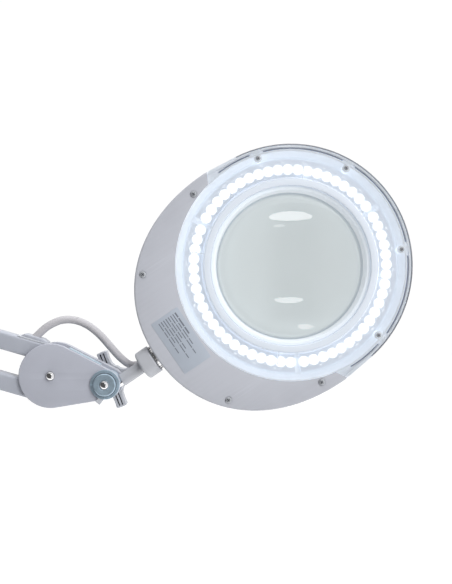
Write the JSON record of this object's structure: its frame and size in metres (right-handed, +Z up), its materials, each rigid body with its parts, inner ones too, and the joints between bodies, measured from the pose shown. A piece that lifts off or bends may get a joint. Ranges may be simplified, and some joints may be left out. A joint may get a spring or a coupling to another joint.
{
  "type": "magnifying lamp",
  "caption": "Table-clamp magnifying lamp: spring-balanced parallelogram arm, tilting and swivelling head with a round lens inside a ring of LEDs, hinged lens cover and rocker switch.",
  "frame": {"origin": "on the underside of the clamp's upper jaw, below the vertical swivel axis: the table top is z = 0", "axes": "+Z up; +X from the clamp towards the lamp head; the lens looks towards -Y at rest"},
  "size_m": [0.8645, 0.1347, 0.71],
  "materials": {
    "painted_steel": "satin",
    "housing_plastic": "satin",
    "white_plastic": "satin",
    "nylon": "matte",
    "zinc": "satin",
    "steel": "satin",
    "clear_plastic": "clear",
    "lens_glass": "polished",
    "led_board": "emissive",
    "driver_board": "matte",
    "black_plastic": "satin",
    "black_rubber": "matte",
    "cord_pvc": "satin"
  },
  "bodies": {
    "clamp": {"clamp_frame": "painted_steel", "clamp_bush": "nylon", "cord_gland": "black_rubber", "mains_lead": "cord_pvc", "mains_coil": "cord_pvc", "mains_plug": "black_plastic"},
    "clamp_pad": {"clamp_pad": "black_rubber"},
    "clamp_screw": {"clamp_screw": "zinc", "clamp_knob": "black_plastic"},
    "base": {"base_yoke": "painted_steel", "base_plate_near": "painted_steel", "base_rod": "zinc", "base_cord": "cord_pvc"},
    "lower_arm": {"lower_bar": "painted_steel"},
    "lower_tie": {"lower_tie_bar": "painted_steel", "lower_spring_pin": "zinc", "lower_spring_near": "steel", "lower_spring_far": "steel"},
    "elbow": {"elbow_plate_near": "painted_steel", "elbow_plate_far": "painted_steel", "elbow_rod": "zinc", "elbow_cord_clip": "housing_plastic", "elbow_cord": "cord_pvc"},
    "upper_arm": {"upper_bar": "painted_steel", "cord_outlet_cap": "housing_plastic"},
    "upper_tie": {"upper_tie_bar": "painted_steel", "upper_spring_pin": "zinc", "upper_spring_near": "steel", "upper_spring_far": "steel"},
    "head_bracket": {"head_plate_near": "painted_steel", "head_plate_far": "painted_steel", "head_bracket_rod": "zinc", "tilt_washer": "zinc", "tilt_bolt": "zinc", "head_cord": "cord_pvc"},
    "tilt_knob": {"tilt_knob": "housing_plastic"},
    "stem": {"tilt_eye": "zinc", "head_stem": "painted_steel", "swivel_disc": "zinc"},
    "head": {"front_housing": "housing_plastic", "back_housing": "housing_plastic", "lens": "lens_glass", "lens_ring": "white_plastic", "led_board_1": "led_board", "led_board_2": "led_board", "led_board_3": "led_board", "led_cover": "clear_plastic", "driver_board": "driver_board", "swivel_socket": "zinc", "cover_hinge_pin": "steel", "cover_screw_1": "steel", "cover_screw_2": "steel", "cover_screw_3": "steel", "cover_screw_4": "steel", "housing_screw_1": "steel", "housing_screw_2": "steel", "housing_screw_3": "steel", "housing_screw_4": "steel"},
    "lens_cover": {"lens_cover": "white_plastic"},
    "power_rocker": {"power_rocker": "black_plastic"}
  },
  "joints": [
    {"name": "clamp_slide", "type": "slide", "parent": "clamp", "child": "clamp_pad", "axis": [0, 0, 1], "range_m": [-0.014, 0.03]},
    {"name": "clamp_turn", "type": "hinge", "parent": "clamp_pad", "child": "clamp_screw", "pos_m": [0.008, 0, -0.05], "axis": [0, 0, 1], "continuous": true},
    {"name": "base_swivel", "type": "hinge", "parent": "clamp", "child": "base", "pos_m": [0, 0, 0.05], "axis": [0, 0, 1], "range_deg": [-170, 170]},
    {"name": "lower_arm", "type": "hinge", "parent": "base", "child": "lower_arm", "pos_m": [-0.018, 0, 0.1], "axis": [0, 1, 0], "range_deg": [-40, 35], "deforming": ["base_cord"]},
    {"name": "lower_tie", "type": "hinge", "parent": "base", "child": "lower_tie", "pos_m": [0.018, 0, 0.1], "axis": [0, 1, 0], "range_deg": [-40, 35], "deforming": ["lower_spring_near", "lower_spring_far"]},
    {"name": "elbow_level", "type": "hinge", "parent": "lower_arm", "child": "elbow", "pos_m": [0.11197, 0, 0.45708], "axis": [0, 1, 0], "range_deg": [-35, 40], "deforming": ["elbow_cord"]},
    {"name": "upper_arm", "type": "hinge", "parent": "elbow", "child": "upper_arm", "pos_m": [0.15797, 0, 0.52258], "axis": [0, 1, 0], "range_deg": [-66, 38], "deforming": ["elbow_cord"]},
    {"name": "upper_tie", "type": "hinge", "parent": "elbow", "child": "upper_tie", "pos_m": [0.15797, 0, 0.48858], "axis": [0, 1, 0], "range_deg": [-66, 38], "deforming": ["upper_spring_near", "upper_spring_far"]},
    {"name": "head_level", "type": "hinge", "parent": "upper_arm", "child": "head_bracket", "pos_m": [0.52288, 0, 0.41656], "axis": [0, 1, 0], "range_deg": [-38, 66], "deforming": ["head_cord"]},
    {"name": "tilt_clamp", "type": "hinge", "parent": "head_bracket", "child": "tilt_knob", "pos_m": [0.56768, 0, 0.39256], "axis": [0, 1, 0], "continuous": true},
    {"name": "head_tilt", "type": "hinge", "parent": "head_bracket", "child": "stem", "pos_m": [0.56768, 0, 0.39256], "axis": [0, -1, 0], "range_deg": [-95, 45], "deforming": ["head_cord"]},
    {"name": "head_swivel", "type": "hinge", "parent": "stem", "child": "head", "pos_m": [0.62075, 0, 0.42247], "axis": [0.8261, 0, 0.5635], "range_deg": [-150, 150]},
    {"name": "cover_hinge", "type": "hinge", "parent": "head", "child": "lens_cover", "pos_m": [0.79258, 0.0252, 0.53969], "axis": [0.5635, 0, -0.8261], "range_deg": [0, 110]},
    {"name": "power_switch", "type": "hinge", "parent": "head", "child": "power_rocker", "pos_m": [0.61357, 0.0192, 0.47205], "axis": [-0.5635, 0, 0.8261], "range_deg": [0, 16]}
  ],
  "couplings": [
    {"joint": "clamp_turn", "follows": "clamp_slide", "rad_per_m": 2094.4},
    {"joint": "lower_tie", "follows": "lower_arm", "ratio": 1},
    {"joint": "elbow_level", "follows": "lower_arm", "ratio": -1},
    {"joint": "upper_tie", "follows": "upper_arm", "ratio": 1},
    {"joint": "head_level", "follows": "upper_arm", "ratio": -1}
  ]
}
